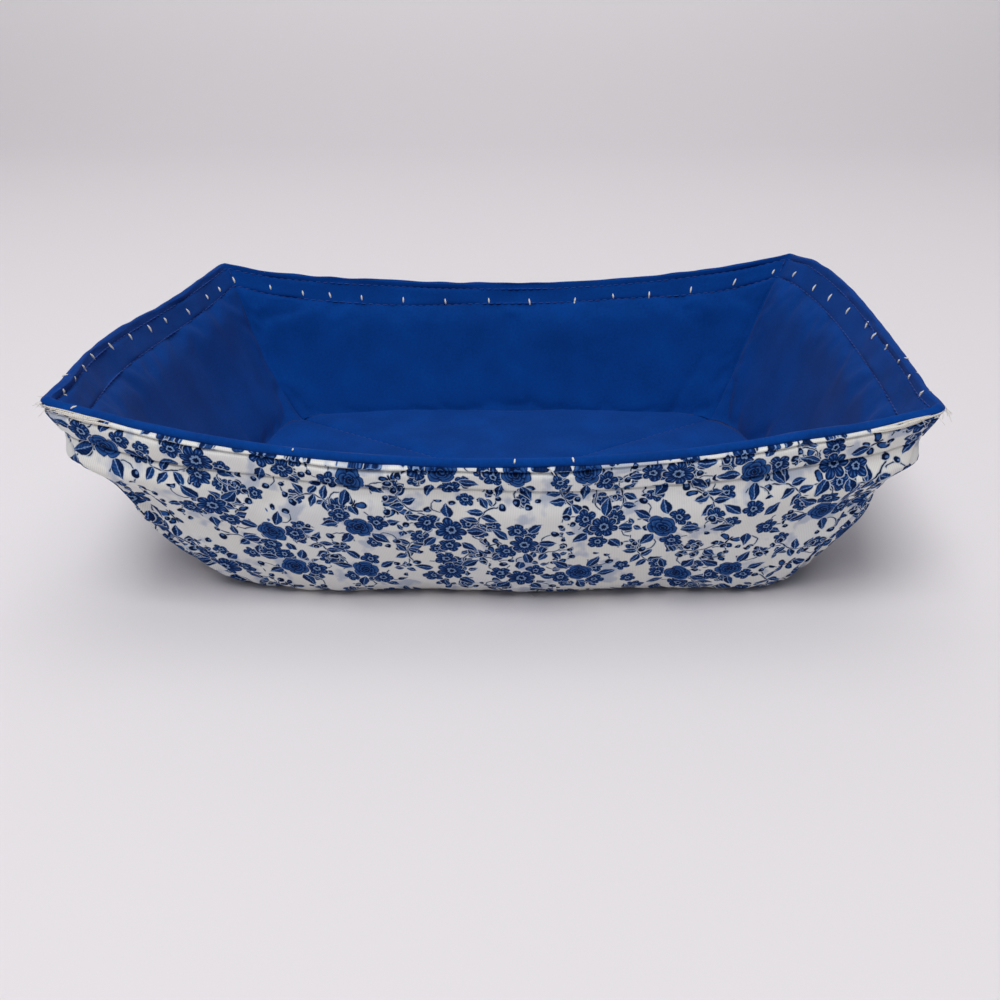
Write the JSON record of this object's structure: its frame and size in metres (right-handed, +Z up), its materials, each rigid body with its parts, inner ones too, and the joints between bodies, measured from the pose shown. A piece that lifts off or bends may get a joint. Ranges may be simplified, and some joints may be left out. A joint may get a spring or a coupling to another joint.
{
  "type": "microwave bowl cozy",
  "caption": "Padded cotton cozy for an oblong microwave bowl: a soft open tray with flared walls, raised corner ears and a stitched rim, printed outside and plain inside.",
  "frame": {"origin": "on the table under the middle of the foot", "axes": "+X along the long side, +Y to the back, so the pictured long side faces -Y, +Z up"},
  "size_m": [0.2314, 0.172, 0.0637],
  "materials": {
    "printed_cotton": "plain-weave cotton with a dense blue floral print on off-white",
    "lining_cotton": "plain-weave royal blue cotton",
    "cotton_batting": "needled natural cotton batting",
    "sewing_thread": "white spun cotton thread",
    "lining_thread": "blue spun cotton thread"
  },
  "bodies": {
    "root": {"outer_panel": "printed_cotton", "outer_batting": "cotton_batting", "lining_batting": "cotton_batting", "lining_panel": "lining_cotton", "edge_row_needle_thread": "sewing_thread", "edge_row_bobbin_thread": "lining_thread", "band_row_needle_thread": "sewing_thread", "band_row_bobbin_thread": "lining_thread", "outer_quilting_thread": "sewing_thread", "lining_quilting_thread": "lining_thread", "outer_dart_thread_front_left": "sewing_thread", "outer_dart_thread_front_right": "sewing_thread", "outer_dart_thread_back_right": "sewing_thread", "outer_dart_thread_back_left": "sewing_thread", "lining_dart_thread_front_left": "lining_thread", "lining_dart_thread_front_right": "lining_thread", "lining_dart_thread_back_right": "lining_thread", "lining_dart_thread_back_left": "lining_thread"}
  },
  "joints": []
}
